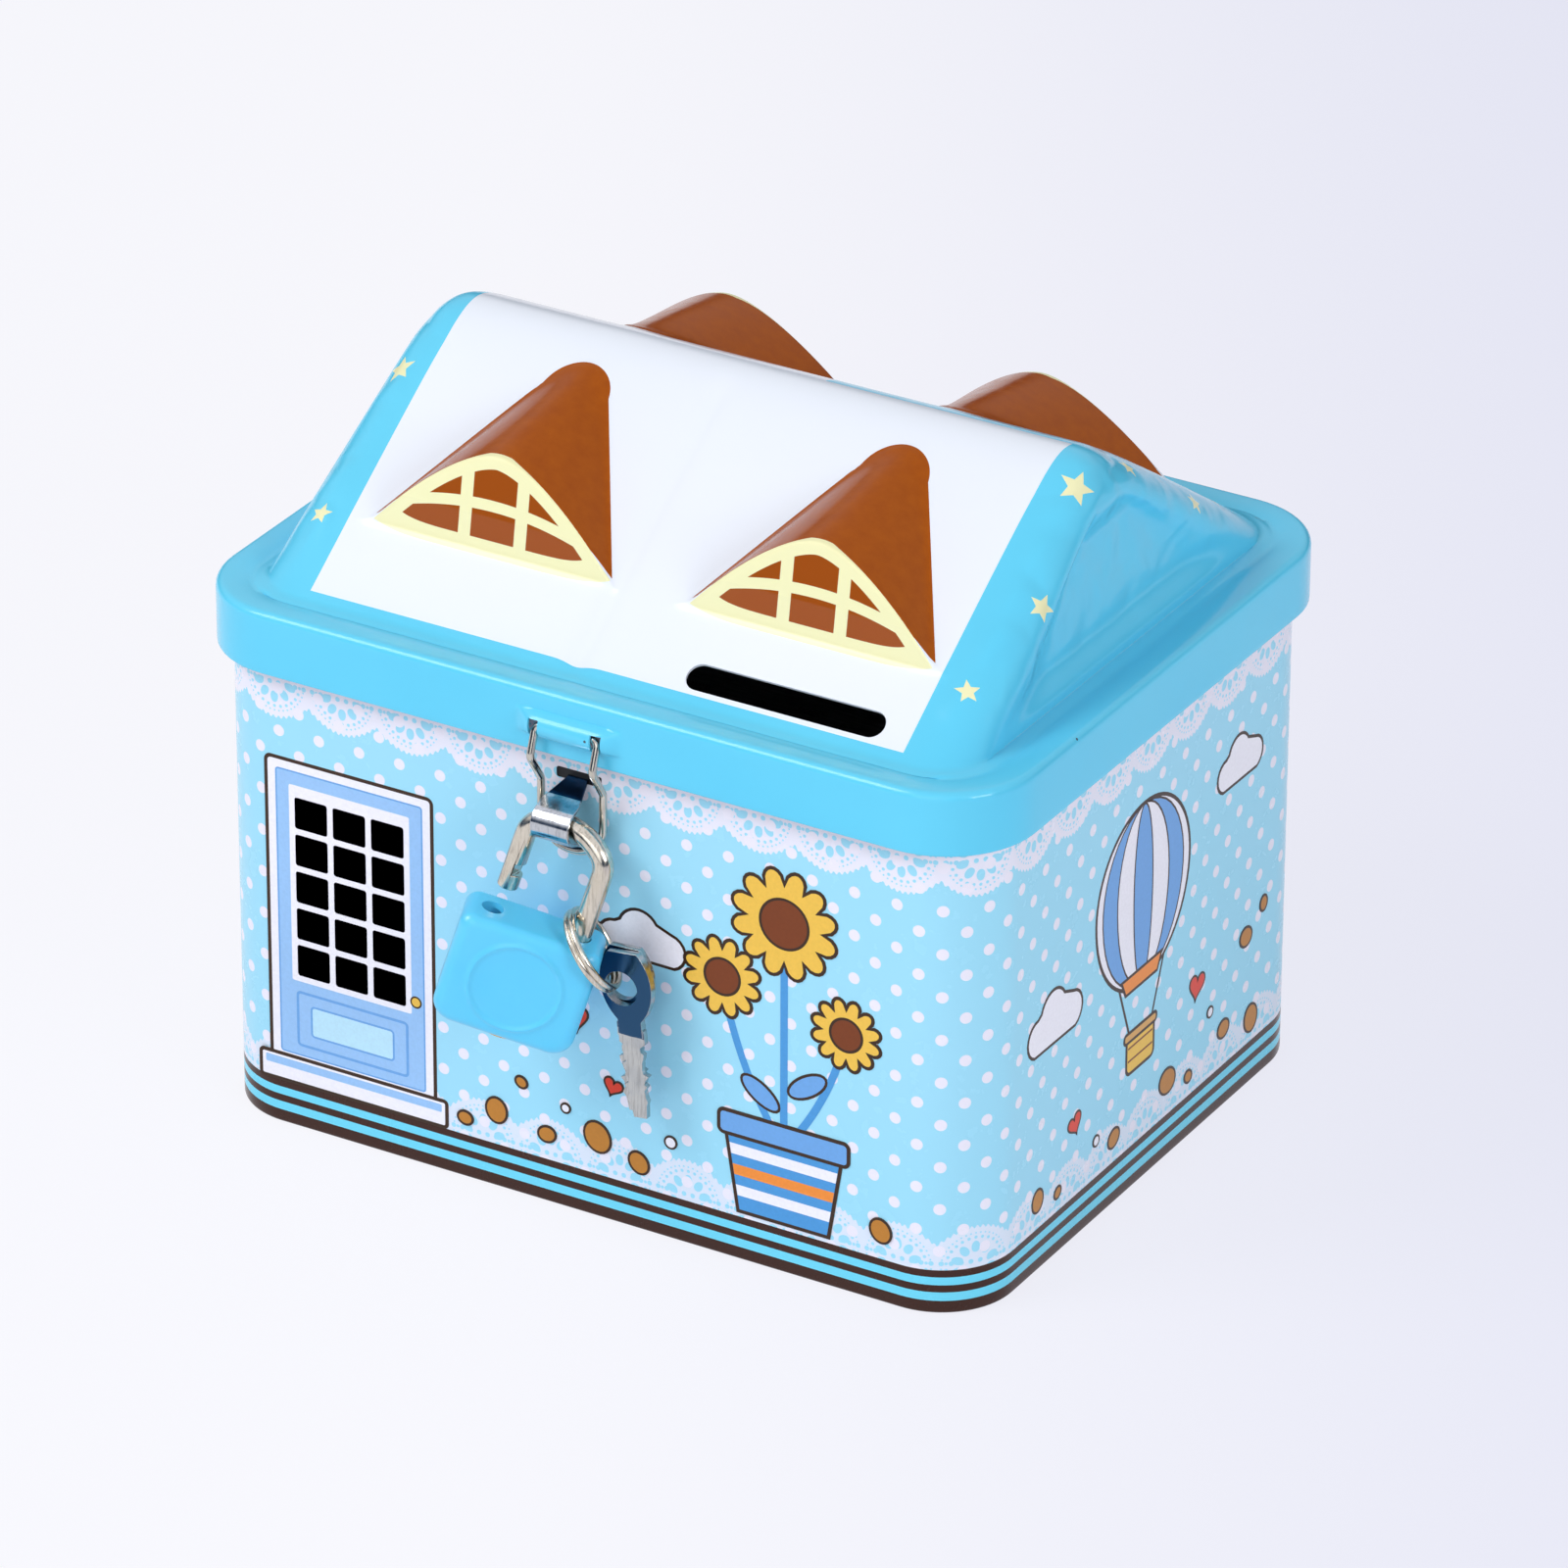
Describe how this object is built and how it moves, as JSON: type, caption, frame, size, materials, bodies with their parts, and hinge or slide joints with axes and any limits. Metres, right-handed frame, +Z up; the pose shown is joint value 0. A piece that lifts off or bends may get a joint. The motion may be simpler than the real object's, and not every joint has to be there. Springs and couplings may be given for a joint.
{
  "type": "tin money box",
  "caption": "House-shaped tin coin bank with a hinged gable lid, a coin slot, a wire hasp over a staple, and a small padlock with its keys.",
  "frame": {"origin": "centre of the box's resting face, under the middle of the wall's footprint", "axes": "+Z up out of the lid, -Y out of the front where the hasp and padlock hang, +X along the ridge to the right seen from the front"},
  "size_m": [0.1246, 0.119, 0.1065],
  "materials": {
    "printed_tin_body": "glossy lithographed print",
    "printed_tin_lid": "glossy lithographed print",
    "plain_tinplate": "bright tinplate",
    "bright_wire": "bright drawn wire",
    "blue_lock_paint": "glossy enamel",
    "shackle_plating": "polished plating",
    "lock_brass": "machined",
    "key_plating": "polished plating"
  },
  "bodies": {
    "tin_body": {"body_wall": "printed_tin_body", "base_plate": "plain_tinplate", "hasp_staple": "plain_tinplate", "hinge_body_leaf_left": "plain_tinplate", "hinge_body_leaf_right": "plain_tinplate", "hinge_pin_left": "bright_wire", "hinge_pin_right": "bright_wire", "hinge_body_rivets": "bright_wire"},
    "lid": {"roof_lid": "printed_tin_lid", "hinge_lid_leaf_left": "plain_tinplate", "hinge_lid_leaf_right": "plain_tinplate", "hinge_lid_rivets": "bright_wire"},
    "hasp": {"hasp_wire": "bright_wire"},
    "shackle_body": {"shackle": "shackle_plating"},
    "follower": {"shackle_follower": "lock_brass", "shackle_spring": "bright_wire"},
    "lock_case": {"padlock_case": "blue_lock_paint", "padlock_back": "blue_lock_paint"},
    "plug": {"lock_plug": "lock_brass", "lock_wafers": "lock_brass"},
    "bolt": {"latch_bolt": "lock_brass"},
    "ring": {"key_ring": "shackle_plating"},
    "key_a": {"key_front": "key_plating"},
    "key_b": {"key_rear": "key_plating"}
  },
  "joints": [
    {"name": "lid_opening", "type": "hinge", "parent": "tin_body", "child": "lid", "pos_m": [0, 0.0512, 0.069], "axis": [-1, 0, 0], "range_deg": [0, 110]},
    {"name": "hasp_play", "type": "hinge", "parent": "lid", "child": "hasp", "pos_m": [-0.0006, -0.0505, 0.0744], "axis": [-1, 0, 0], "range_deg": [-3, 4]},
    {"name": "shackle_swing", "type": "hinge", "parent": "tin_body", "child": "shackle_body", "pos_m": [-0.0006, -0.0527, 0.0619], "axis": [-1, 0, 0], "range_deg": [-1.5, 60]},
    {"name": "case_swivel", "type": "hinge", "parent": "shackle_body", "child": "follower", "pos_m": [0.00485, -0.05401, 0.05072], "axis": [0.2646, 0.1392, 0.9543], "range_deg": [-23, 12]},
    {"name": "case_lift", "type": "slide", "parent": "follower", "child": "lock_case", "axis": [0.2646, 0.1392, 0.9543], "range_m": [0, 0.0012]},
    {"name": "plug_turn", "type": "hinge", "parent": "lock_case", "child": "plug", "pos_m": [-0.00415, -0.0583, 0.03928], "axis": [0.2646, 0.1392, 0.9543], "range_deg": [0, 90]},
    {"name": "bolt_throw", "type": "slide", "parent": "lock_case", "child": "bolt", "axis": [-0.8725, -0.3869, 0.2984], "range_m": [0, 0.0008]},
    {"name": "ring_lift", "type": "hinge", "parent": "lock_case", "child": "ring", "pos_m": [0.00249, -0.05509, 0.04996], "axis": [0.4108, -0.9115, 0.019], "range_deg": [0, 12]},
    {"name": "key_front_swing", "type": "hinge", "parent": "ring", "child": "key_a", "pos_m": [0.00927, -0.05273, 0.04001], "axis": [0, -1, 0], "range_deg": [-4, 1]},
    {"name": "key_rear_swing", "type": "hinge", "parent": "ring", "child": "key_b", "pos_m": [0.00857, -0.05143, 0.04011], "axis": [0, -1, 0], "range_deg": [-4, 1]}
  ],
  "couplings": [
    {"joint": "plug_turn", "follows": "bolt_throw", "rad_per_m": 1963.5}
  ]
}
